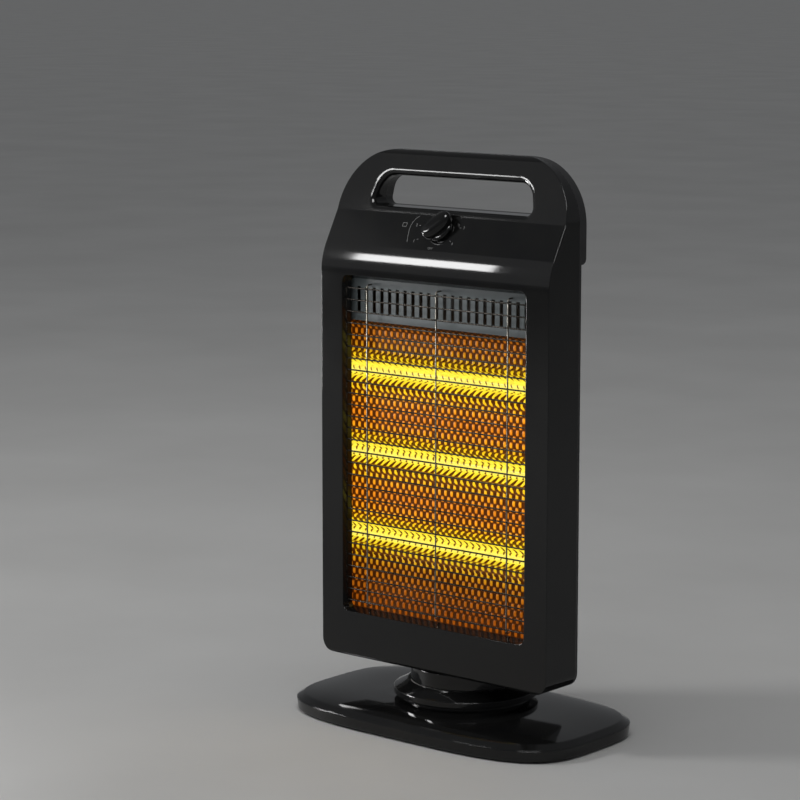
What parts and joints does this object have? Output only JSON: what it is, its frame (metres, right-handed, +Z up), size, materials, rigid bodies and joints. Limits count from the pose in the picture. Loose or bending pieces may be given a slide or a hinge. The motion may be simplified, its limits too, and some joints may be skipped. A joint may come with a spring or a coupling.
{
  "type": "infrared heater",
  "caption": "Free-standing infrared heater with glowing lamp tubes, a wire guard, a carrying handle, a dial and a head that swings on a round neck above a broad base.",
  "frame": {"origin": "on the floor under the middle of the base", "axes": "+Z up, -Y to the front that the lamps face, +X to the right seen from the front"},
  "size_m": [0.344, 0.201, 0.568],
  "materials": {
    "gloss_black": "high gloss",
    "matte_black": "fine grain",
    "ballast_steel": "dull black",
    "foot_rubber": "matte",
    "zinc_steel": "zinc plated",
    "white_plastic": "natural",
    "reflector_sheet": "embossed, bright",
    "strip_grey": "satin grey",
    "quartz": "clear",
    "glowing_coil": "incandescent",
    "cap_ceramic": "unglazed",
    "guard_wire": "bright"
  },
  "bodies": {
    "base": {"base_cover": "gloss_black", "base_plate": "ballast_steel", "rubber_feet": "foot_rubber", "base_screws": "zinc_steel", "collar_ring": "gloss_black", "collar_screws": "zinc_steel", "swivel_washer": "white_plastic", "swing_yoke": "white_plastic", "tip_switch": "matte_black"},
    "head": {"front_housing": "gloss_black", "rear_cover": "matte_black", "housing_screws": "zinc_steel", "cord_gland": "matte_black", "neck_drum": "gloss_black", "drum_screws": "zinc_steel", "swivel_spindle": "zinc_steel", "retaining_nut": "zinc_steel", "swing_motor": "zinc_steel", "motor_screws": "zinc_steel", "reflector": "reflector_sheet", "end_plate_left": "zinc_steel", "end_plate_right": "zinc_steel", "lower_lamp_tube": "quartz", "lower_filament": "glowing_coil", "middle_lamp_tube": "quartz", "middle_filament": "glowing_coil", "upper_lamp_tube": "quartz", "upper_filament": "glowing_coil", "lamp_caps": "cap_ceramic", "vent_strip": "strip_grey", "heat_shield": "zinc_steel", "thermal_cutout": "zinc_steel", "guard_cross_wires": "guard_wire", "guard_uprights": "guard_wire", "rotary_switch": "matte_black", "terminal_block": "white_plastic"},
    "crank": {"swing_crank": "white_plastic"},
    "knob": {"control_knob": "gloss_black", "switch_shaft": "zinc_steel"},
    "plunger": {"tip_plunger": "white_plastic"}
  },
  "joints": [
    {"name": "head_swing", "type": "hinge", "parent": "base", "child": "head", "pos_m": [0, 0.009, 0.043], "axis": [0, 0, 1], "range_deg": [-35, 35]},
    {"name": "crank_turn", "type": "hinge", "parent": "head", "child": "crank", "pos_m": [0.0285, 0.009, 0.046], "axis": [0, 0, 1], "range_deg": [-97, 97]},
    {"name": "knob_turn", "type": "hinge", "parent": "head", "child": "knob", "pos_m": [-0.004, -0.0279, 0.49615], "axis": [0, -0.8786, 0.4775], "range_deg": [-270, 0]},
    {"name": "plunger_travel", "type": "slide", "parent": "base", "child": "plunger", "axis": [0, 0, -1], "range_m": [0, 0.003], "stiffness_N_per_m": 20}
  ],
  "couplings": [
    {"joint": "crank_turn", "follows": "head_swing", "ratio": -2.75}
  ]
}
